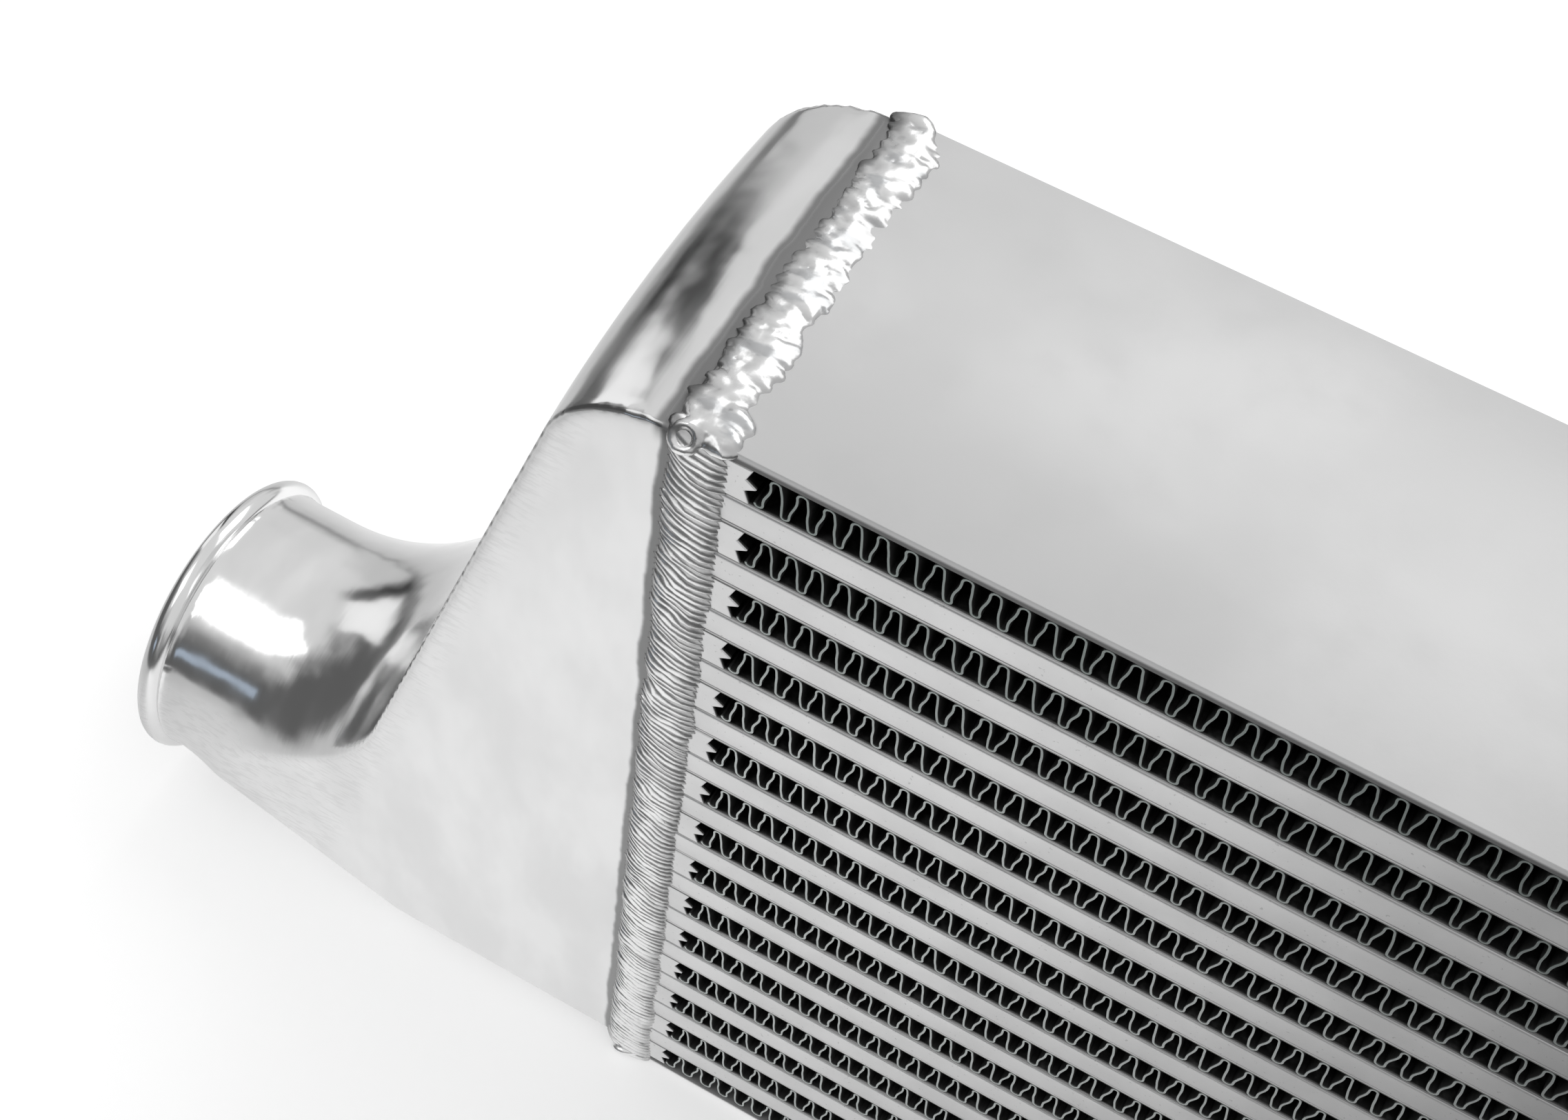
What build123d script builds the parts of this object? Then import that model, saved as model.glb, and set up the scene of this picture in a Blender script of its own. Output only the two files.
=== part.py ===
from build123d import *
import os
from math import cos, radians, sin, sqrt, tan

# Bar-and-plate air-to-air charge cooler with two cast end tanks.
# Millimetres. X runs along the core, Y through its depth with the front at -Y, Z is up.
# The origin lies on the ground, under the middle of the core.

# Core
core_length = 400.0
core_depth = 75.0
fin_rows = 15
fin_row_height = 8.4
passage_height = 7.8
parting_sheet = 0.6
bar_depth = 8.0
side_plate_thickness = 2.4
end_bar_width = 10.4
tooth_reach = 2.0
tooth_gap = 0.6
air_fin_thickness = 0.3
air_fin_waves = 20
turbulator_thickness = 0.3
turbulator_waves = 6

# End tank. Its outer face leans in by tank_slope from tank_foot, the reach it would have at the floor.
tank_wall = 4.0
tank_lift = 2.0
tank_foot = 92.3
tank_slope = 16.5
nose_radius = 25.0
crown_radius = 450.0
crown_shift = 8.0
lower_edge_radius = 3.5
lower_edge_reach = 62.0
inner_edge_radius = 1.0

# Hose stub
stub_diameter = 65.0
stub_wall = 3.0
stub_reach = 131.0
stub_centre_height = 35.4
stub_face_gap = 0.4
blend_gap = 0.6
flare_radius = 42.0
inner_flare = 18.0
bead_rise = 2.1
bead_width = 4.8

# Weld bead round each tank joint
weld_rise = 1.5
weld_tank_side = 2.8
weld_core_side = 7.0

charge_rows = fin_rows - 1
row_pitch = fin_row_height + passage_height
core_height = fin_rows * fin_row_height + charge_rows * passage_height + 2 * side_plate_thickness
core_floor = weld_rise
core_top = core_floor + core_height
core_end = core_length / 2
front_face = -core_depth / 2
first_row = core_floor + side_plate_thickness
air_fin_length = core_length - 2 * (end_bar_width + tooth_reach + tooth_gap)
inner_depth = core_depth - 2 * bar_depth
inner_height = passage_height - 2 * parting_sheet

tank_floor = core_floor + tank_lift
stub_radius = stub_diameter / 2
stub_y = front_face + stub_face_gap + stub_radius
stub_z = core_floor + stub_centre_height

os.makedirs("parts", exist_ok=True)


def write(piece, name):
    piece.part.label = name
    export_step(piece.part, f"parts/{name}.step")


def corrugation(length, floor, height, thickness, waves):
    """Outline of a folded strip that stands on floor and runs from -length/2 to length/2."""
    step = length / (2 * waves)
    lift = height - thickness
    under = [(-length / 2 + i * step, floor + lift * (i % 2)) for i in range(2 * waves + 1)]
    over = [(x, y + thickness) for x, y in reversed(under)]
    return under + over


# Side plates close the stack below and above.
def side_plate(floor):
    with BuildPart() as plate:
        with BuildSketch(Plane.XY.offset(floor)):
            Rectangle(core_length, core_depth)
        extrude(amount=side_plate_thickness)
    return plate


write(side_plate(core_floor), "bottom_side_plate")
write(side_plate(core_top - side_plate_thickness), "top_side_plate")


# A charge passage is two parting sheets brazed to a front and a rear bar.
def charge_passage(floor):
    with BuildPart() as passage:
        with BuildSketch(Plane.YZ.offset(-core_end)):
            with Locations((0, floor + passage_height / 2)):
                Rectangle(core_depth, passage_height)
                Rectangle(inner_depth, inner_height, mode=Mode.SUBTRACT)
        extrude(amount=core_length)
    return passage


# The turbulator is a folded strip that fills the passage from end to end.
def turbulator(floor):
    with BuildPart() as strip:
        with BuildSketch(Plane.YZ.offset(-core_end)):
            with BuildLine():
                Polyline(*corrugation(inner_depth, floor, inner_height, turbulator_thickness, turbulator_waves),
                         close=True)
            make_face()
        extrude(amount=core_length)
    return strip


# The cooling fin is folded along the core and open from front to back.
def air_fin(floor):
    with BuildPart() as fin:
        with BuildSketch(Plane.XZ.offset(-core_depth / 2)):
            with BuildLine():
                Polyline(*corrugation(air_fin_length, floor, fin_row_height, air_fin_thickness, air_fin_waves),
                         close=True)
            make_face()
        extrude(amount=core_depth)
    return fin


# End bars close each row of cooling fin. Their inner edge is a row of teeth.
def end_bars():
    third = fin_row_height / 3
    with BuildPart() as bars:
        for row in range(fin_rows):
            floor = first_row + row * row_pitch
            inner = -core_end + end_bar_width
            with BuildSketch(Plane.XZ.offset(-core_depth / 2)):
                with BuildLine():
                    Polyline(
                        (-core_end, floor),
                        (inner + tooth_reach / 2, floor),
                        (inner, floor + third),
                        (inner + tooth_reach, floor + fin_row_height / 2),
                        (inner, floor + 2 * third),
                        (inner + tooth_reach / 2, floor + fin_row_height),
                        (-core_end, floor + fin_row_height),
                        close=True,
                    )
                make_face()
            extrude(amount=core_depth)
    return bars


left_end_bars = end_bars()
write(left_end_bars, "left_end_bars")
with BuildPart() as right_end_bars:
    mirror(left_end_bars.part, about=Plane.YZ)
write(right_end_bars, "right_end_bars")


def crowned_section(place, nose, depth):
    """Section of the tank's outer wall: a crowned edge, nose beyond the centre of the bullnose."""
    half = 1.2 * core_depth
    front = nose - crown_radius + sqrt(crown_radius ** 2 - (half + crown_shift) ** 2)
    rear = nose - crown_radius + sqrt(crown_radius ** 2 - (half - crown_shift) ** 2)
    with BuildSketch(place) as section:
        with BuildLine():
            ThreePointArc((-half, front), (crown_shift, nose), (half, rear))
            Polyline((half, rear), (half, -depth), (-half, -depth), (-half, front))
        make_face()
    return section.sketch


def cast_shoulder(inset, radius):
    """The crowned, sloping wall and its bullnose with a round stub. Outside, one large fillet blends them."""
    lean = radians(tank_slope)
    nose = nose_radius - inset
    nose_z = core_top - nose_radius
    nose_x = -core_end - tank_foot + (nose_z - tank_floor) * tan(lean) + nose_radius / cos(lean)
    slope = Plane(origin=(nose_x, 0, nose_z), x_dir=(0, 1, 0), z_dir=(sin(lean), 0, cos(lean)))
    top = Plane(origin=(nose_x, 0, nose_z), x_dir=(0, 1, 0), z_dir=(1, 0, 0))
    with BuildPart() as shoulder:
        extrude(crowned_section(slope, nose, core_depth), amount=-core_height - stub_diameter)
        revolve(crowned_section(slope, nose, 0), axis=Axis((nose_x, 0, nose_z), (0, 1, 0)),
                revolution_arc=90 - tank_slope)
        extrude(crowned_section(top, nose, core_height + stub_diameter), amount=-core_end - nose_x + nose_radius)
        with BuildSketch(Plane.YZ.offset(-core_end - 2 * stub_reach)):
            with Locations((stub_y, stub_z)):
                Circle(radius)
        extrude(amount=2 * stub_reach)
        root = edges().filter_by(lambda edge: edge.is_closed).sort_by(Axis.X)[-1]
        if inset > 0:
            chamfer(root, length=inner_flare)
        else:
            fillet(root, radius=flare_radius)
    return shoulder.part


def open_section(reach, front, back, floor, radius, rounded):
    """Open-topped outline across the tank. Its lower corners are rounded outside and cut flat inside."""
    lid = core_top + core_depth
    with BuildSketch(Plane.YZ.offset(-core_end - reach)) as section:
        with BuildLine():
            Polyline((front, lid), (front, floor), (back, floor), (back, lid), close=True)
        make_face()
        corners = vertices().group_by(Axis.Y)[0]
        if rounded:
            fillet(corners, radius=radius)
        else:
            chamfer(corners, length=radius * (2 - sqrt(2)))
    return section.sketch


def tank_sides(inset, radius, edge_radius, first, overrun):
    """Everything between the tank's front, rear and underside, which close in on the stub at first."""
    near = radius + blend_gap
    wide = core_depth / 2 - inset
    rounded = inset == 0
    at_stub = open_section(first, stub_y - near, stub_y + near, stub_z - near, radius, rounded)
    at_core = open_section(lower_edge_reach, -wide, wide, tank_floor + inset, edge_radius, rounded)
    with BuildPart() as sides:
        loft([at_stub, at_core], ruled=True)
        extrude(at_core, amount=lower_edge_reach + overrun)
    return sides.part


# The end tank is one hollow casting with a beaded hose stub. It is open towards the core.
def end_tank():
    bore = stub_radius - stub_wall
    bead_start = stub_reach - bead_width
    with BuildPart() as cavity:
        add(cast_shoulder(tank_wall, bore))
        inner_sides = tank_sides(tank_wall, bore, inner_edge_radius, stub_reach + tank_wall, tank_wall)
        add(inner_sides, mode=Mode.INTERSECT)
    with BuildPart() as tank:
        add(cast_shoulder(0, stub_radius))
        add(tank_sides(0, stub_radius, lower_edge_radius, bead_start, 0), mode=Mode.INTERSECT)
        rim = stub_z + stub_radius
        lip = -core_end - stub_reach
        with BuildSketch(Plane.XZ.offset(-stub_y)):
            with BuildLine():
                Polyline(
                    (lip, rim),
                    (lip + bead_width / 4, rim + bead_rise),
                    (lip + 3 * bead_width / 4, rim + bead_rise),
                    (lip + bead_width, rim),
                    (lip + bead_width, stub_z + bore / 2),
                    (lip, stub_z + bore / 2),
                    close=True,
                )
            make_face()
        revolve(axis=Axis((lip, stub_y, stub_z), (1, 0, 0)))
        add(cavity.part, mode=Mode.SUBTRACT)
    return tank


left_end_tank = end_tank()
write(left_end_tank, "left_end_tank")
with BuildPart() as right_end_tank:
    mirror(left_end_tank.part, about=Plane.YZ)
write(right_end_tank, "right_end_tank")


# The weld bead runs round the joint. It lies on the tank and on the core and fills the step between them.
with BuildPart() as left_weld_bead:
    with BuildSketch(Plane.YZ.offset(-core_end - weld_tank_side)):
        with Locations((0, core_floor + core_height / 2)):
            RectangleRounded(core_depth + 2 * weld_rise, core_height + 2 * weld_rise, 2 * weld_rise)
    extrude(amount=weld_tank_side + weld_core_side)
    rims = edges().group_by(Axis.X)
    chamfer(rims[0] + rims[-1], length=weld_rise / 2)
    with BuildSketch(Plane.YZ.offset(-core_end)):
        with Locations((0, core_floor + core_height / 2)):
            Rectangle(core_depth, core_height)
    extrude(amount=weld_core_side, mode=Mode.SUBTRACT)
    with BuildSketch(Plane.YZ.offset(-core_end)):
        with Locations((0, (tank_floor + core_top) / 2)):
            Rectangle(core_depth - tank_wall, core_top - tank_floor - 2 * tank_wall)
    extrude(amount=-weld_tank_side, mode=Mode.SUBTRACT)
    add(left_end_tank.part, mode=Mode.SUBTRACT)
write(left_weld_bead, "left_weld_bead")
with BuildPart() as right_weld_bead:
    mirror(left_weld_bead.part, about=Plane.YZ)
write(right_weld_bead, "right_weld_bead")

for row in range(fin_rows):
    floor = first_row + row * row_pitch
    write(air_fin(floor), f"air_fin_{row + 1:02d}")
for row in range(charge_rows):
    floor = first_row + fin_row_height + row * row_pitch
    write(charge_passage(floor), f"charge_passage_{row + 1:02d}")
    write(turbulator(floor + parting_sheet), f"turbulator_{row + 1:02d}")
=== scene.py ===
import math

import bpy
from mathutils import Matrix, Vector


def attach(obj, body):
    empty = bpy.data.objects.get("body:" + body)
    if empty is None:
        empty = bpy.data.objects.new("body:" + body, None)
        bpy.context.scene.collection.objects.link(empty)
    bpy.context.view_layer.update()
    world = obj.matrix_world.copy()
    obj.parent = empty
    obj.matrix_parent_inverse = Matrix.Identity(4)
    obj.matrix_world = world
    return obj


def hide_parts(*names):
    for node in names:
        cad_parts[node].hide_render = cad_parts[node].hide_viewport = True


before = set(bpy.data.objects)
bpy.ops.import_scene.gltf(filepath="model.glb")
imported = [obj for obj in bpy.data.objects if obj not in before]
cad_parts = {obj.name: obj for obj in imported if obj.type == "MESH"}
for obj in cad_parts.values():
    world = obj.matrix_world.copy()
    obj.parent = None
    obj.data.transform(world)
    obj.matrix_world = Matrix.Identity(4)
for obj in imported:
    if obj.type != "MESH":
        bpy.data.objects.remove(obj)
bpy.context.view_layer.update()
mm = 0.001
print("frame loaded, nodes:", len(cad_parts))

core = {  # sizes of the CAD core that several pieces share
    "front": -37.5 * mm,
    "back": 37.5 * mm,
    "bottom": 1.5 * mm,
    "top": 241.3 * mm,
    "end": 200.0 * mm,
    "finFloor": 3.9 * mm,
    "rowPitch": 16.2 * mm,
    "passages": 14,
}
smoothAngle = math.radians(40)
mergeGap = 0.005 * mm


def deselect():
    bpy.ops.object.select_all(action="DESELECT")


def pick(*pieces):  # only these are selected, the first is active
    deselect()
    for piece in pieces:
        piece.select_set(True)
    bpy.context.view_layer.objects.active = pieces[0]


def edit(piece):  # edit mode with the whole mesh selected
    pick(piece)
    bpy.ops.object.mode_set(mode="EDIT")
    bpy.ops.mesh.select_mode(type="VERT")
    bpy.ops.mesh.select_all(action="SELECT")


def leaveEdit():
    bpy.ops.object.mode_set(mode="OBJECT")


def settle(piece):  # place, turn and size go into the mesh
    pick(piece)
    bpy.ops.object.transform_apply(location=True, rotation=True, scale=True)


def modify(piece, kind, **settings):
    pick(piece)
    modifier = piece.modifiers.new(kind.lower(), kind)
    for key, value in settings.items():
        setattr(modifier, key, value)
    bpy.ops.object.modifier_apply(modifier=modifier.name)


def repeat(piece, count, step, **settings):
    modify(piece, "ARRAY", count=count, use_relative_offset=False, use_constant_offset=True,
           constant_offset_displace=step, **settings)


def displace(piece, texture, strength, direction="NORMAL"):
    modify(piece, "DISPLACE", texture=texture, strength=strength, mid_level=0.5, direction=direction,
           texture_coords="LOCAL")


def cloudTexture(name, grain):
    texture = bpy.data.textures.new(name, "CLOUDS")
    texture.noise_scale = grain
    return texture


def addBox(name, low, high):
    deselect()
    bpy.ops.mesh.primitive_cube_add(size=1, location=[(a + b) / 2 for a, b in zip(low, high)])
    box = bpy.context.object
    box.name = name
    box.scale = [b - a for a, b in zip(low, high)]
    settle(box)
    return box


def addRing(place, turn, radius, thick, segments):
    deselect()
    bpy.ops.mesh.primitive_torus_add(location=place, rotation=turn, major_segments=segments[0],
                                     minor_segments=segments[1], major_radius=radius, minor_radius=thick)
    ring = bpy.context.object
    settle(ring)
    return ring


def duplicate(piece, name):  # a copy with its own mesh
    twin = piece.copy()
    twin.data = piece.data.copy()
    twin.name = name
    bpy.context.scene.collection.objects.link(twin)
    return twin


def copyNode(node, name):  # the CAD node's mesh, merged to closed skins
    piece = duplicate(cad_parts[node], name)
    piece.parent = None
    for key in list(piece.keys()):
        del piece[key]
    edit(piece)
    bpy.ops.mesh.remove_doubles(threshold=mergeGap)
    leaveEdit()
    bpy.ops.mesh.customdata_custom_splitnormals_clear()
    return piece


def mirrorCopy(piece, name):  # the same piece at the other end of the core
    twin = duplicate(piece, name)
    twin.scale = (-1, 1, 1)
    settle(twin)
    edit(twin)
    bpy.ops.mesh.normals_make_consistent(inside=False)
    leaveEdit()
    return twin


def joinAll(name, pieces):
    pick(*pieces)
    bpy.ops.object.join()
    pieces[0].name = name
    return pieces[0]


def shadeSmooth(piece):
    pick(piece)
    bpy.ops.object.shade_smooth()


def shadeFlats(piece):  # smooth, with sharp edges where two flats meet
    pick(piece)
    bpy.ops.object.shade_smooth_by_angle(angle=smoothAngle)


def finishPiece(piece, node, material):
    piece.data.materials.clear()
    piece.data.materials.append(material)
    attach(piece, "root")
    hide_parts(node)


def finishPair(left, twinName, node, material):  # the right one is a mirrored copy
    right = mirrorCopy(left, twinName)
    finishPiece(left, "left_" + node, material)
    finishPiece(right, "right_" + node, material)


class Link:  # a socket that can stand in a sum
    def __init__(self, nodes, socket):
        self.nodes = nodes
        self.socket = socket

    def maths(self, operation, first, second=0.0):
        return self.nodes.add("ShaderNodeMath", {"operation": operation}, {0: first, 1: second})

    def __add__(self, other):
        return self.maths("ADD", self, other)

    def __radd__(self, other):
        return self.maths("ADD", other, self)

    def __sub__(self, other):
        return self.maths("SUBTRACT", self, other)

    def __rsub__(self, other):
        return self.maths("SUBTRACT", other, self)

    def __mul__(self, other):
        return self.maths("MULTIPLY", self, other)

    def __rmul__(self, other):
        return self.maths("MULTIPLY", other, self)

    def absolute(self):
        return self.maths("ABSOLUTE", self)

    def fraction(self):
        return self.maths("FRACT", self)

    def most(self, other):
        return self.maths("MAXIMUM", self, other)


class Nodes:  # the node tree of a material or of the world
    def __init__(self, owner):
        owner.use_nodes = True
        self.tree = owner.node_tree
        self.tree.nodes.clear()

    def add(self, kind, settings=None, inputs=None, output=0):
        node = self.tree.nodes.new(kind)
        for key, value in (settings or {}).items():
            setattr(node, key, value)
        for key, value in (inputs or {}).items():
            if isinstance(value, Link):
                self.tree.links.new(value.socket, node.inputs[key])
            else:
                node.inputs[key].default_value = value
        return Link(self, node.outputs[output]) if len(node.outputs) else None

    def place(self):
        return self.add("ShaderNodeTexCoord", output="Object")

    def axes(self, vector):
        parts = self.add("ShaderNodeSeparateXYZ", inputs={0: vector}).socket.node
        return [Link(self, socket) for socket in parts.outputs]

    def noise(self, scale, detail, stretch=(1, 1, 1)):
        vector = self.add("ShaderNodeMapping", inputs={"Vector": self.place(), "Scale": stretch})
        return self.add("ShaderNodeTexNoise", inputs={"Vector": vector, "Scale": scale, "Detail": detail})

    def step(self, value, low, high, first=0.0, last=1.0):  # a soft step from first to last
        return self.add("ShaderNodeMapRange", {"interpolation_type": "SMOOTHSTEP"},
                        {"Value": value, "From Min": low, "From Max": high, "To Min": first, "To Max": last})

    def line(self, value, middle, low, high):  # 1 at the middle, 0 from high away on either side
        return 1.0 - self.step((value - middle).absolute(), low, high)

    def patches(self, grain, low, high):  # grain is what noise takes
        return self.step(self.noise(*grain), low, high)

    def blend(self, factor, first, second):
        return self.add("ShaderNodeMix", {"data_type": "RGBA"}, {0: factor, 6: first, 7: second}, 2)

    def bump(self, grain, strength, distance, under=None):  # grain is what noise takes
        inputs = {"Height": self.noise(*grain), "Strength": strength, "Distance": distance}
        if under is not None:
            inputs["Normal"] = under
        return self.add("ShaderNodeBump", inputs=inputs)

    def surface(self, inputs):
        shader = self.add("ShaderNodeBsdfPrincipled", inputs=inputs)
        self.add("ShaderNodeOutputMaterial", inputs={"Surface": shader})


def grey(level, tint=0.0):  # a tint above 0 leans to blue
    return (level * (1 - tint), level, level * (1 + tint), 1)


black = grey(0)
white = grey(1)

# In these dictionaries a noise is (scale, detail, stretch), patches are (noise, low, high)
# and a bump is (noise, strength, distance). Two numbers are where a soft step begins and ends,
# three are a line's middle and the two ends of its soft edge.
castingLook = {
    "metal": 0.88,
    "smearedMetal": 0.8008,
    "satinFacing": (0.86, 0.985),
    "polishRough": 0.14,
    "satinRough": 0.42,
    "cloud": (28.0, 3.0),
    "cloudRough": 0.16,
    "smear": (70.0, 3.0, (1, 0.5, 0.4)),
    "smearTone": (0.3, 0.7),
    "smearEdge": (0.45, 0.65),
    "smearRough": 0.10,
    "weldSide": 204.6 * mm,
    "weldNoise": (90.0, 3.0),
    "weldSway": 2.6 * mm,
    "bandSoft": 0.5 * mm,
    "bandShare": 0.9,
    "bandGrey": 0.46,
    "bandRough": 0.4,
    "sootWidth": 2.0 * mm,
    "sootHeight": (234 * mm, 240 * mm),
    "sootShare": 0.85,
    "sootAndShadeGrey": 0.17,
    # crest: painted shade, a dark line along the rounded ridge, picked by which way the surface faces
    "crestFacing": 0.55,
    "crestWidth": (0.12, 0.30),
    "crestEnd": (250 * mm, 262 * mm),
    "crestShare": 0.7,
    "crestShadeGrey": 0.30,
    "slopeFoot": 292.3 * mm,
    "slopeLean": 0.296,
    "stroke": ((1400.0, 2.0, (0.22, 1, 1)), 0.48, 0.62),
    "strokeReach": (3 * mm, 10 * mm),
    "strokeShare": 0.22,
    "strokeGrey": 0.55,
    "wave": ((55.0, 2.0), 0.6, 0.6 * mm),
    "brushed": ((320.0, 2.0, (1, 0.2, 0.12)), 0.06, 0.1 * mm),
    "turned": ((700.0, 2.0, (1, 0.06, 0.06)), 0.14, 0.1 * mm),
}


def castingFinish():
    look = castingLook
    material = bpy.data.materials.new("polishedCasting")
    nodes = Nodes(material)
    x, z = nodes.axes(nodes.place())[::2]
    outward = x.absolute()
    normal = nodes.add("ShaderNodeNewGeometry", output="Normal")
    toFront = nodes.axes(normal)[1] * -1.0
    onFace = nodes.step(toFront, *look["satinFacing"])
    rough = onFace * (look["satinRough"] - look["polishRough"]) + look["polishRough"]
    rough = rough + (nodes.noise(*look["cloud"]) - 0.5) * look["cloudRough"]
    smear = nodes.noise(*look["smear"])
    rough = rough + (1.0 - onFace) * nodes.step(smear, *look["smearEdge"]) * look["smearRough"]
    clean = nodes.step(smear, *look["smearTone"])
    tone = nodes.blend(clean, grey(look["smearedMetal"]), grey(look["metal"]))
    edge = outward + (nodes.noise(*look["weldNoise"]) - 0.5) * look["weldSway"]
    side = look["weldSide"]
    soft = look["bandSoft"]
    band = 1.0 - nodes.step(edge, side - soft, side + soft)
    tone = nodes.blend(band * look["bandShare"], tone, grey(look["bandGrey"]))
    sootAndShade = 1.0 - nodes.step(edge, side + soft, side + look["sootWidth"])
    sootAndShade = sootAndShade * nodes.step(z, *look["sootHeight"])
    tone = nodes.blend(sootAndShade * look["sootShare"], tone, grey(look["sootAndShadeGrey"]))
    # painted shade: darker where the surface faces about halfway to the front, near the weld
    crestShade = nodes.line(toFront, look["crestFacing"], *look["crestWidth"])
    crestShade = crestShade * (1.0 - nodes.step(outward, *look["crestEnd"]))
    tone = nodes.blend(crestShade * look["crestShare"], tone, grey(look["crestShadeGrey"]))
    fromSlope = look["slopeFoot"] - z * look["slopeLean"] - outward
    strokes = nodes.patches(*look["stroke"]) * onFace * (1.0 - nodes.step(fromSlope, *look["strokeReach"]))
    tone = nodes.blend(strokes * look["strokeShare"], tone, grey(look["strokeGrey"]))
    fine = nodes.bump(*look["wave"])
    fine = nodes.bump(*look["brushed"], fine)
    fine = nodes.bump(*look["turned"], fine)
    rough = rough + band * look["bandRough"]
    nodes.surface({"Base Color": tone, "Metallic": 1.0, "Roughness": rough, "Normal": fine})
    return material


weldLook = {
    "metal": 0.86,
    "dark": 0.32,
    "rough": 0.15,
    "roughNoise": (90.0, 3.0),
    "roughShare": 0.2,
    "patch": ((150.0, 3.0), 0.58, 0.85),
    "patchShare": 0.7,
    # scale: painted shade, dark bluish patches on the bead's top face only
    "scale": ((240.0, 3.0, (0.5, 1, 1)), 0.50, 0.62),
    "topShadeHeight": (241.0 * mm, 241.6 * mm),
    "topShadeShare": 0.45,
    "topShadeTint": 0.06,
    # groove: painted shade in the hollows between ripples
    "grooveShade": (0.3 * mm, 1.4 * mm),
    "grooveShare": 0.58,
    "sootNoise": (220.0, 3.0),
    "sootSway": 5 * mm,
    "sootSide": (200.5 * mm, 203.5 * mm),
    "sootHeight": (236 * mm, 241 * mm),
    "sootAndShadeGrey": 0.20,
    "sootRough": 0.2,
    "pitted": ((900.0, 2.0), 0.15, 0.2 * mm),
}


def weldFinish():
    look = weldLook
    material = bpy.data.materials.new("weldBead")
    nodes = Nodes(material)
    x, y, z = nodes.axes(nodes.place())
    dark = grey(look["dark"])
    tone = nodes.blend(nodes.patches(*look["patch"]) * look["patchShare"], grey(look["metal"]), dark)
    # painted shade: dark bluish patches, on the top face only
    scale = nodes.patches(*look["scale"]) * nodes.step(z, *look["topShadeHeight"])
    tone = nodes.blend(scale * look["topShadeShare"], tone, grey(look["dark"], look["topShadeTint"]))
    # painted shade: darker where the bead stands less than 0.3 to 1.4 mm proud of the core's skin
    proud = (y.absolute() - core["back"]).most(z - core["top"])
    grooveShade = 1.0 - nodes.step(proud, *look["grooveShade"])
    tone = nodes.blend(grooveShade * look["grooveShare"], tone, dark)
    edge = x.absolute() + (nodes.noise(*look["sootNoise"]) - 0.5) * look["sootSway"]
    sootAndShade = nodes.step(edge, *look["sootSide"]) * nodes.step(z, *look["sootHeight"])
    tone = nodes.blend(sootAndShade, tone, grey(look["sootAndShadeGrey"]))
    rough = look["rough"] + nodes.noise(*look["roughNoise"]) * look["roughShare"] + sootAndShade * look["sootRough"]
    fine = nodes.bump(*look["pitted"])
    nodes.surface({"Base Color": tone, "Metallic": 1.0, "Roughness": rough, "Normal": fine})
    return material


barLook = {
    "darkMetal": 0.66,
    "metal": 0.74,
    "cloud": (60.0, 3.0),
    "cloudTone": (0.3, 0.7),
    "rough": 0.36,
    "cloudRough": 0.12,
    "speck": ((1400.0, 1.0), 0.72, 0.78),
    "speckShare": 0.5,
    "speckGrey": 0.35,
    # joints: painted shadow lines along the sheet edges
    "lowJoint": (0.968, 0.980),
    "highJoint": (0.531, 0.010, 0.016),
    "jointShare": 0.75,
    "jointShadowGrey": 0.16,
    # mouth: painted shade inside the passage, in mottled patches
    "mouth": 37.3 * mm,
    "mouthSoft": 0.5 * mm,
    "sootAndShade": ((420.0, 4.0), 0.45, 0.8),
    "sootAndShadeGrey": 0.04,
    "dustAndShadeGrey": 0.16,
    "brushed": ((600.0, 3.0, (0.05, 1, 1)), 0.12, 0.2 * mm),
}


def barFinish():
    look = barLook
    material = bpy.data.materials.new("satinBar")
    nodes = Nodes(material)
    y, z = nodes.axes(nodes.place())[1:]
    cloud = nodes.noise(*look["cloud"])
    tone = nodes.blend(nodes.step(cloud, *look["cloudTone"]), grey(look["darkMetal"]), grey(look["metal"]))
    tone = nodes.blend(nodes.patches(*look["speck"]) * look["speckShare"], tone, grey(look["speckGrey"]))
    row = ((z - core["finFloor"]) * (1 / core["rowPitch"])).fraction()  # 0 at a fin's floor, 1 at the next
    # painted shadow: thin dark lines along the sheet edges in every row
    jointShadow = nodes.step(row, *look["lowJoint"]) + nodes.line(row, *look["highJoint"])
    tone = nodes.blend(jointShadow * look["jointShare"], tone, grey(look["jointShadowGrey"]))
    # painted shade: nearly black inside the passage behind its mouth, in mottled patches
    depthShade = nodes.step(look["mouth"] - y.absolute(), 0.0, look["mouthSoft"])
    sootAndShade = nodes.blend(nodes.patches(*look["sootAndShade"]), grey(look["sootAndShadeGrey"]), grey(look["dustAndShadeGrey"]))
    tone = nodes.blend(depthShade, tone, sootAndShade)
    rough = look["rough"] + cloud * look["cloudRough"]
    fine = nodes.bump(*look["brushed"])
    nodes.surface({"Base Color": tone, "Metallic": 1.0, "Roughness": rough, "Normal": fine})
    return material


plateLook = {
    "darkMetal": 0.68,
    "metal": 0.75,
    "metallic": 0.4,
    "rough": 0.60,
    "cloud": ((22.0, 3.0), 0.35, 0.65),
    "mottle": ((75.0, 4.0), 0.45, 0.75),
    "mottleShare": 0.30,
    "mottleGrey": 0.63,
    # rim: painted shade on the top plate's edge below its upper face
    "rim": (121.4 * mm, 118.6 * mm, 119.4 * mm),
    "rimShadeGrey": 0.16,
    "grain": ((700.0, 3.0), 0.10, 0.2 * mm),
}


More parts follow.
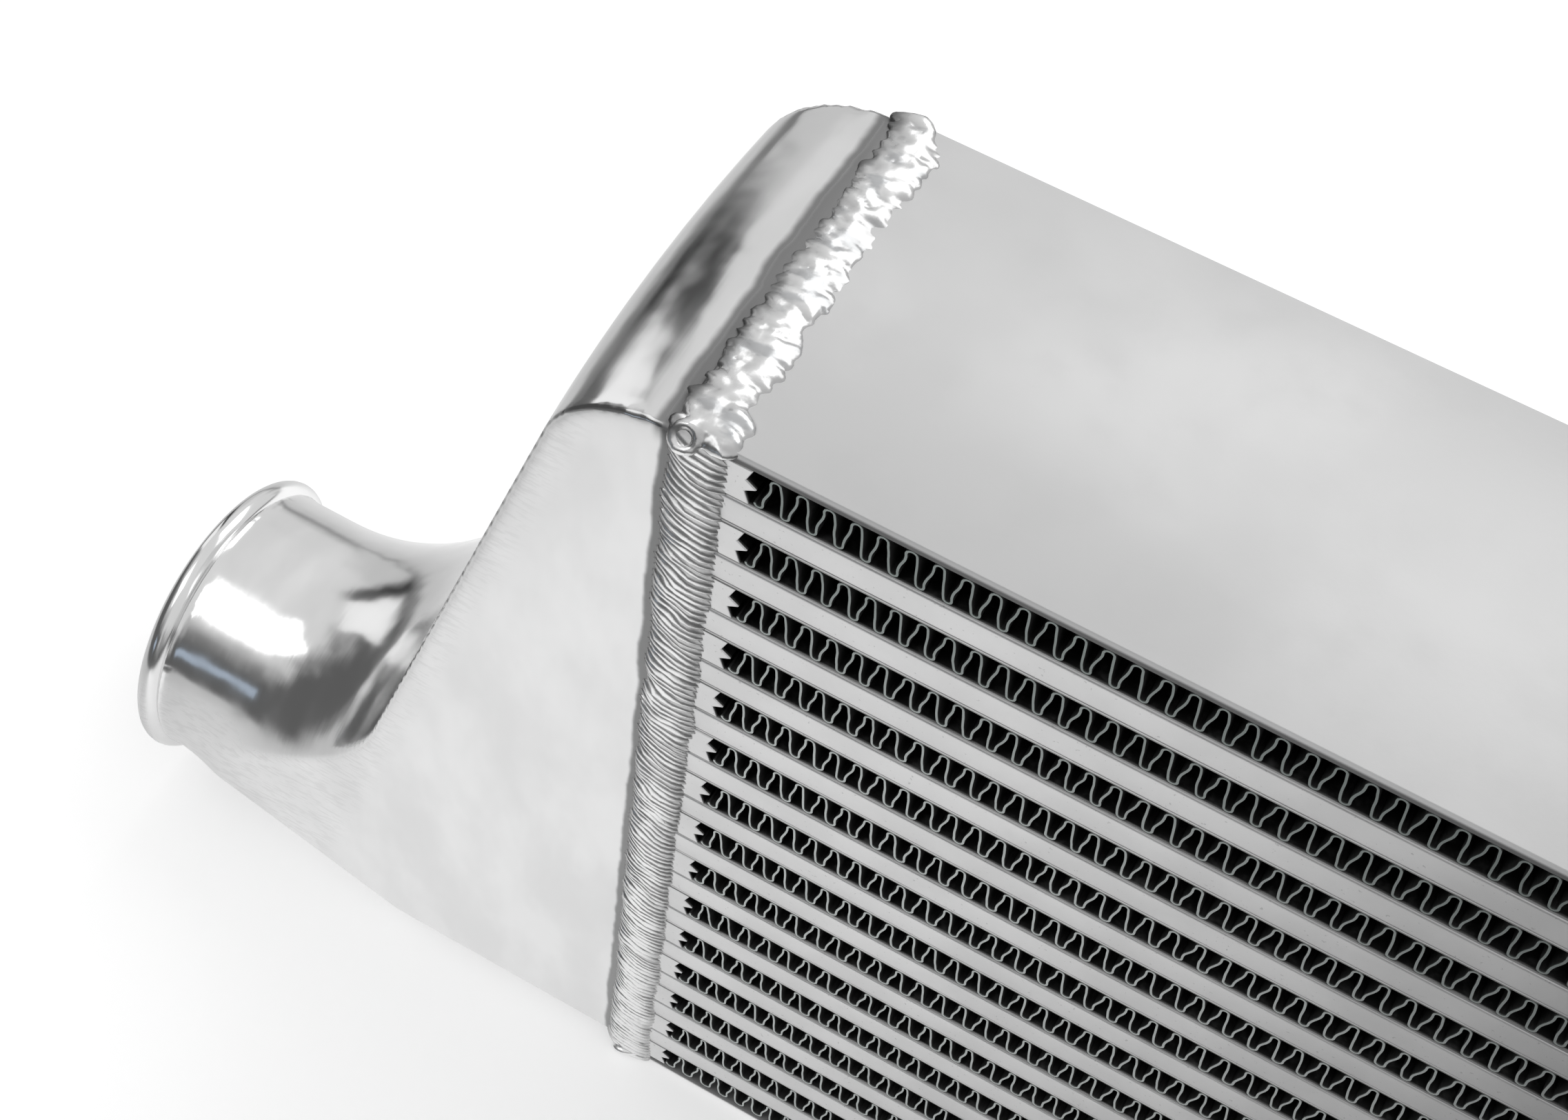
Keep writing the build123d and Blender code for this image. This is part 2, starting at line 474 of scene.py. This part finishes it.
def plateFinish():
    look = plateLook
    material = bpy.data.materials.new("millPlate")
    nodes = Nodes(material)
    z = nodes.axes(nodes.place())[2]
    tone = nodes.blend(nodes.patches(*look["cloud"]), grey(look["darkMetal"]), grey(look["metal"]))
    tone = nodes.blend(nodes.patches(*look["mottle"]) * look["mottleShare"], tone, grey(look["mottleGrey"]))
    # painted shade: darker from 2.8 mm up to 240 mm high, which takes in the top plate's edge below its
    # upper face
    tone = nodes.blend(nodes.line(z, *look["rim"]), tone, grey(look["rimShadeGrey"]))
    fine = nodes.bump(*look["grain"])
    nodes.surface({"Base Color": tone, "Metallic": look["metallic"], "Roughness": look["rough"],
                   "Normal": fine})
    return material


finLook = {
    # front edges: painted light low down and painted shade high up
    "lowLitEdge": (0.52, 0.55, 0.54, 1),
    "highShadedEdge": (0.24, 0.27, 0.26, 1),
    "edgeHeight": (150 * mm, 240 * mm),
    "edgeDepth": (0.10 * mm, 0.30 * mm),
    # mouth and depth: painted shade inside the rows, darker further in
    "mouth": 37.4 * mm,
    "nearShadeGrey": 0.12,
    "innerShadeGrey": 0.04,
    "innerDepth": (0.2 * mm, 5.0 * mm),
    "dust": ((420.0, 4.0), 0.45, 0.80),
    "dustShare": 0.5,
    "dustAndShadeGrey": 0.18,
    "metallic": 0.8,
    "rough": 0.45,
}


def finFinish():
    look = finLook
    material = bpy.data.materials.new("finStock")
    nodes = Nodes(material)
    y, z = nodes.axes(nodes.place())[1:]
    # painted shade: darker deeper inside the rows, mottled with lighter patches
    depth = look["mouth"] - y.absolute()
    inward = nodes.step(depth, *look["innerDepth"])
    depthShade = nodes.blend(inward, grey(look["nearShadeGrey"]), grey(look["innerShadeGrey"]))
    depthShade = nodes.blend(nodes.patches(*look["dust"]) * look["dustShare"], depthShade, grey(look["dustAndShadeGrey"]))
    # painted light and shade: the front edges are lighter in low rows and darker in high rows
    edge = nodes.blend(nodes.step(z, *look["edgeHeight"]), look["lowLitEdge"], look["highShadedEdge"])
    tone = nodes.blend(nodes.step(depth, *look["edgeDepth"]), edge, depthShade)
    nodes.surface({"Base Color": tone, "Metallic": look["metallic"], "Roughness": look["rough"]})
    return material


casting = castingFinish()
weld = weldFinish()
bar = barFinish()
plate = plateFinish()
fin = finFinish()
print("finishes made")

tank = {
    "grain": 1.2 * mm,
    "smoothing": 0.5,
    "passes": 4,
    "rollPlace": (-328.25 * mm, -4.6 * mm, 36.9 * mm),
    "rollTurn": (0, math.pi / 2, 0),
    "rollRadius": 32.3 * mm,
    "rollThick": 2.75 * mm,
    "rollSegments": (96, 20),
}


def buildTanks():  # the rolled lip is joined last, so that it stays round
    skin = copyNode("left_end_tank", "leftTank")
    rolled = addRing(tank["rollPlace"], tank["rollTurn"], tank["rollRadius"], tank["rollThick"],
                     tank["rollSegments"])
    modify(skin, "REMESH", mode="VOXEL", voxel_size=tank["grain"])
    modify(skin, "SMOOTH", factor=tank["smoothing"], iterations=tank["passes"])
    left = joinAll("leftTank", [skin, rolled])
    shadeSmooth(left)
    finishPair(left, "rightTank", "end_tank", casting)
    print("tanks built,", len(left.data.polygons), "faces each")


bead = {
    "middle": -198.0 * mm,
    "coreSize": (1, 0.944, 0.982),
    "dropSegments": (20, 8),
    "unevenGrain": 6 * mm,
    "frontUneven": (("Z", 2.4 * mm), ("X", 2.0 * mm)),
    "topUneven": (("Y", 5 * mm), ("X", 4 * mm), ("Z", 0.8 * mm)),
    "craterPlace": (-200.0 * mm, -38.1 * mm, 240.1 * mm),
    "craterTurn": (0.9, 0, 0),
    "craterRadius": 2.0 * mm,
    "craterThick": 0.9 * mm,
    "craterSegments": (28, 10),
    "grain": 0.5 * mm,
    "smoothing": 0.5,
    "passes": 2,
    "wobble": ((9 * mm, 0.6 * mm), (2.5 * mm, 0.4 * mm)),
    "runs": {  # the first ripple's place, half size, turn in degrees, step to the next, and the count
        "front": ((-198.0, -36.9, 3.0), (6.0, 2.3, 1.05), (20, 22, 0), (0, 0, 1.75), 136),
        "back": ((-198.0, 36.9, 3.0), (6.0, 2.3, 1.05), (-20, 22, 0), (0, 0, 1.75), 136),
        "top": ((-198.0, -36.5, 240.8), (6.0, 1.9, 1.5), (24, 0, -22), (0, 2.6, 0), 29),
        "spread": ((-196.8, -34.5, 241.0), (4.2, 2.5, 1.35), (14, 0, 30), (0, 5.46, 0), 13),
        "blob": ((-195.2, -36.1, 240.9), (4.2, 3.0, 1.5), (20, 0, -15), (0.4, 3.2, 0), 2),
        "under": ((-198.0, -37.5, 2.0), (4.2, 2.5, 1.35), (-35, 0, 22), (0, 2.6, 0), 29),
    },
}


def rippleRun(name):  # frozen puddles that overlap like scales
    place, size, turn, step, count = bead["runs"][name]
    segments, rings = bead["dropSegments"]
    deselect()
    bpy.ops.mesh.primitive_uv_sphere_add(segments=segments, ring_count=rings, radius=1,
                                         location=[value * mm for value in place])
    drop = bpy.context.object
    drop.scale = [value * mm for value in size]
    drop.rotation_euler = [math.radians(angle) for angle in turn]
    settle(drop)
    repeat(drop, count, [value * mm for value in step])
    return drop


def buildBeads():
    inner = copyNode("left_weld_bead", "leftBead")
    edit(inner)
    bpy.ops.transform.resize(value=bead["coreSize"],
                             center_override=(bead["middle"], 0, (core["bottom"] + core["top"]) / 2))
    leaveEdit()
    front, back, top, spread, blob, under = [rippleRun(name) for name in bead["runs"]]
    uneven = cloudTexture("topUneven", bead["unevenGrain"])
    for run in (front, back):
        for direction, strength in bead["frontUneven"]:
            displace(run, uneven, strength, direction)
    top = joinAll("topRun", [top, spread])
    for direction, strength in bead["topUneven"]:
        displace(top, uneven, strength, direction)
    rim = addRing(bead["craterPlace"], bead["craterTurn"], bead["craterRadius"], bead["craterThick"],
                  bead["craterSegments"])
    top = joinAll("topRun", [top, rim, blob])
    modify(top, "REMESH", mode="VOXEL", voxel_size=bead["grain"])
    modify(top, "SMOOTH", factor=bead["smoothing"], iterations=bead["passes"])
    left = joinAll("leftBead", [inner, front, back, top, under])
    for grain, strength in bead["wobble"]:
        displace(left, cloudTexture("beadWobble", grain), strength)
    shadeSmooth(left)
    finishPair(left, "rightBead", "weld_bead", weld)
    print("weld beads built,", len(left.data.polygons), "faces each")


flats = {"plateRound": 0.9 * mm, "plateSegments": 4, "barRound": 0.2 * mm, "barSegments": 2}


def buildPlates():
    for side in ("top", "bottom"):
        sheet = copyNode(side + "_side_plate", side + "Plate")
        modify(sheet, "BEVEL", width=flats["plateRound"], segments=flats["plateSegments"])
        shadeFlats(sheet)
        finishPiece(sheet, side + "_side_plate", plate)
    for side in ("left", "right"):
        bars = copyNode(side + "_end_bars", side + "EndBars")
        modify(bars, "BEVEL", width=flats["barRound"], segments=flats["barSegments"])
        finishPiece(bars, side + "_end_bars", bar)
    print("plates and end bars built")


passage = {
    "floor": 12.3 * mm,
    "height": 7.8 * mm,
    "sheet": 0.6 * mm,
    "sheetBack": 0.12 * mm,
    "sheetRound": 0.12 * mm,
    "sheetSegments": 2,
    "barDepth": 8.0 * mm,
    "barRound": 0.7 * mm,
    "barSegments": 4,
}


def buildPassage():  # two sheets with a bar between them at the front and at the back
    floor = passage["floor"]
    top = floor + passage["height"]
    sheet = passage["sheet"]
    inset = passage["sheetBack"]
    end = core["end"]
    parts = []
    for low in (floor, top - sheet):
        skin = addBox("skin", (-end, core["front"] + inset, low), (end, core["back"] - inset, low + sheet))
        modify(skin, "BEVEL", width=passage["sheetRound"], segments=passage["sheetSegments"])
        parts.append(skin)
    for low in (core["front"], core["back"] - passage["barDepth"]):
        rod = addBox("rod", (-end, low, floor + sheet), (end, low + passage["barDepth"], top - sheet))
        modify(rod, "BEVEL", width=passage["barRound"], segments=passage["barSegments"])
        parts.append(rod)
    first = joinAll("passage01", parts)
    shadeFlats(first)
    return first


def buildPassages():
    first = buildPassage()
    for row in range(core["passages"]):
        number = f"{row + 1:02d}"
        rods = first
        if row:
            rods = duplicate(first, "passage" + number)
            rods.location = (0, 0, row * core["rowPitch"])
            settle(rods)
        finishPiece(rods, "charge_passage_" + number, bar)
        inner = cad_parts["turbulator_" + number]
        inner.data.materials.clear()
        inner.data.materials.append(fin)
    print("passages built")


folds = {
    "rows": 15,
    "height": 8.4 * mm,
    "wave": 4.55 * mm,
    "waves": 82,
    "start": -187.0 * mm,
    "sheet": 0.40 * mm,
    "front": -37.4 * mm,
    "back": 37.4 * mm,
    "bendTop": 0.45 * mm,
    "bendBottom": 1.12 * mm,
    "turnOver": 0.42 * mm,
    "bendParts": 6,
    "upSway": -0.14 * mm,
    "downSway": 0.14 * mm,
    "legParts": 7,
    "topGap": 1.5,
    "seam": 0.02 * mm,
    "uneven": 9 * mm,
    "crush": 0.9 * mm,
}


def addLeg(reach, sway, rise):  # drawn in short lengths, upright at both ends
    def across(part):
        return reach * (1 - math.cos(math.pi * part)) / 2 + sway * math.sin(2 * math.pi * part)

    count = folds["legParts"]
    for part in range(count):
        step = (across((part + 1) / count) - across(part / count), 0, rise / count)
        bpy.ops.mesh.extrude_region_move(TRANSFORM_OT_translate={"value": step})


def addBend(angle, x, z):
    bpy.ops.mesh.spin(steps=folds["bendParts"], angle=angle, center=(x, 0, z), axis=(0, -1, 0))


def foldedStrip(name, row):  # low rows have their wide bends at the bottom, high rows at the top
    share = row / (folds["rows"] - 1)
    floor = core["finFloor"] + row * core["rowPitch"] + folds["sheet"]
    top = floor + folds["height"] - folds["sheet"] * folds["topGap"]
    low = folds["bendBottom"] - folds["turnOver"] * share
    high = folds["bendTop"] + folds["turnOver"] * share
    reach = folds["wave"] / 2 - low - high
    start = folds["start"]
    deselect()
    bpy.ops.mesh.primitive_plane_add(size=1 * mm, location=(start - low, 0, floor + low))
    strip = bpy.context.object
    strip.name = name
    settle(strip)
    edit(strip)
    bpy.ops.mesh.merge(type="CENTER")
    rise = (top - high) - (floor + low)
    addBend(-math.pi, start, floor + low)
    addLeg(reach, folds["upSway"], rise)
    addBend(math.pi, start + low + reach + high, top - high)
    addLeg(reach, folds["downSway"], -rise)
    leaveEdit()
    repeat(strip, folds["waves"], (folds["wave"], 0, 0), use_merge_vertices=True,
           merge_threshold=folds["seam"])
    depth = folds["back"] - folds["front"]
    edit(strip)
    bpy.ops.transform.translate(value=(0, folds["front"], 0))
    bpy.ops.mesh.extrude_region_move(TRANSFORM_OT_translate={"value": (0, depth, 0)})
    leaveEdit()
    modify(strip, "SOLIDIFY", thickness=folds["sheet"], offset=0.0)
    return strip


def buildFins():
    uneven = cloudTexture("finUneven", folds["uneven"])
    for row in range(folds["rows"]):
        number = f"{row + 1:02d}"
        strip = foldedStrip("fins" + number, row)
        displace(strip, uneven, folds["crush"], "X")
        finishPiece(strip, "air_fin_" + number, fin)
    print("fins built,", len(strip.data.polygons), "faces each")


buildTanks()
buildBeads()
buildPlates()
buildPassages()
buildFins()

floorSet = {  # four numbers are the ends of a soft step and its first and last value
    "size": 2.4,
    "grey": 0.86,
    "farGrey": 0.12,
    "rough": 0.9,
    "seenGlow": 0.36,
    "mirrorStart": (-0.48, -0.24, 0.08, 0.40),
    "mirrorEnd": (-0.20, 0.08),
    "farLeft": (0.55, 0.80, 0.0, 0.65),
    "nearLeft": (0.28, 0.36, 0.0, 0.35),
    "right": (-0.20, 0.12, 0.0, 0.92),
}


def buildFloor():  # what the metal mirrors is darker towards both sides than what the camera sees
    deselect()
    bpy.ops.mesh.primitive_plane_add(size=floorSet["size"], location=(0, 0, 0))
    floor = bpy.context.object
    floor.name = "floor"
    material = bpy.data.materials.new("paleFloor")
    nodes = Nodes(material)
    seen = nodes.add("ShaderNodeLightPath", output="Is Camera Ray")
    gloss = nodes.add("ShaderNodeLightPath", output="Is Glossy Ray")
    x = nodes.axes(nodes.place())[0]
    mirror = nodes.step(x, *floorSet["mirrorStart"])
    mirror = mirror * (1.0 - nodes.step(x, *floorSet["mirrorEnd"]))
    glow = nodes.blend(seen * floorSet["seenGlow"] + gloss * mirror, black, white)
    outward = x * -1.0
    far = nodes.step(outward, *floorSet["farLeft"]) + nodes.step(outward, *floorSet["nearLeft"])
    far = gloss * far.most(nodes.step(x, *floorSet["right"]))
    tone = nodes.blend(far, grey(floorSet["grey"]), grey(floorSet["farGrey"]))
    nodes.surface({"Base Color": tone, "Roughness": floorSet["rough"], "Emission Color": glow,
                   "Emission Strength": 1.0})
    floor.data.materials.append(material)


worldSet = {
    "frontDim": 0.28,
    "leftDim": 0.35,
    "raggedScale": 3.0,
    "raggedDetail": 3.0,
    "ragged": 0.8,
    "rise": (-0.02, 0.50),
    "horizon": 0.12,
    "sky": 0.76,
    "asideX": 0.54,
    "asideY": 0.84,
    "left": (0.3, 0.5),
    "wing": 0.62,
    "wingAside": (0.10, 0.16),
    "wingFoot": (-0.3, -0.1),
    "stripe": (0.035, 0.04, 0.08),
    "stripeTop": (0.5, 0.7),
    "stripeDim": 0.9,
    "cardAside": (-0.18, 0.14, 0.17),
    "cardHeight": (0.34, 0.26, 0.34),
}


def buildWorld():  # a pale sky with a bright wing, a dark stripe and a white card on the left
    world = bpy.data.worlds.new("studioWorld")
    bpy.context.scene.world = world
    nodes = Nodes(world)
    direction = nodes.add("ShaderNodeTexCoord", output="Generated")
    x, y, z = nodes.axes(direction)
    seen = nodes.add("ShaderNodeLightPath", output="Is Camera Ray")
    ragged = nodes.add("ShaderNodeTexNoise", inputs={"Vector": direction, "Scale": worldSet["raggedScale"],
                                                     "Detail": worldSet["raggedDetail"]})
    up = z + y * worldSet["frontDim"] + x * worldSet["leftDim"] + (ragged - 0.5) * worldSet["ragged"]
    level = nodes.step(up, *worldSet["rise"], worldSet["horizon"], worldSet["sky"])
    aside = x * worldSet["asideX"] + y * worldSet["asideY"]
    left = nodes.step(x * -1.0, *worldSet["left"])
    wing = left * nodes.step(aside, *worldSet["wingAside"]) * nodes.step(z, *worldSet["wingFoot"])
    level = level.most(wing * worldSet["wing"])
    stripe = left * nodes.line(aside, *worldSet["stripe"]) * (1.0 - nodes.step(z, *worldSet["stripeTop"]))
    level = level * (1.0 - stripe * worldSet["stripeDim"])
    card = left * nodes.line(aside, *worldSet["cardAside"]) * nodes.line(z, *worldSet["cardHeight"])
    level = level.most(card)
    colour = nodes.blend(seen, nodes.blend(level, black, white), white)
    background = nodes.add("ShaderNodeBackground", inputs={"Color": colour, "Strength": 1.0})
    nodes.add("ShaderNodeOutputWorld", inputs={"Surface": background})


lamps = {
    "softboxLeft": {"place": (-0.72, -0.42, 0.95), "target": (-0.3, 0, 0.05), "size": (0.60, 0.44),
                    "watts": 0.95, "colour": (1, 1, 1)},
    "softboxBack": {"place": (0.02, 0.75, 1.1), "target": (-0.1, 0, 0.1), "size": (1.0, 0.8),
                    "watts": 3.3, "colour": (1, 1, 1)},
    "window": {"place": (-0.75, -1.1, 0.35), "target": (-0.31, -0.03, 0.05), "size": (0.34, 0.14),
               "watts": 0.09, "colour": (0.55, 0.68, 0.85)},
}


def addLamps():
    for name, lampSet in lamps.items():
        deselect()
        bpy.ops.object.light_add(type="AREA", location=lampSet["place"])
        lamp = bpy.context.object
        lamp.name = name
        lamp.data.shape = "RECTANGLE"
        lamp.data.size, lamp.data.size_y = lampSet["size"]
        lamp.data.energy = lampSet["watts"]
        lamp.data.color = lampSet["colour"]
        aim = Vector(lampSet["target"]) - Vector(lampSet["place"])
        lamp.rotation_euler = aim.to_track_quat("-Z", "Y").to_euler()


buildFloor()
buildWorld()
addLamps()
print("studio set")

cameraSet = {
    "place": (-0.1126, -0.2253, 0.5179),
    "turn": (33.583, -5.654, 28.570),
    "lens": 53.55,
    "sensor": 36,
    "clip": 0.01,
}
deselect()
bpy.ops.object.camera_add(location=cameraSet["place"],
                          rotation=[math.radians(angle) for angle in cameraSet["turn"]])
camera = bpy.context.object
camera.data.lens = cameraSet["lens"]
camera.data.sensor_width = cameraSet["sensor"]
camera.data.clip_start = cameraSet["clip"]
bpy.context.scene.camera = camera
bpy.context.scene.view_settings.view_transform = "Standard"

print("scene done")
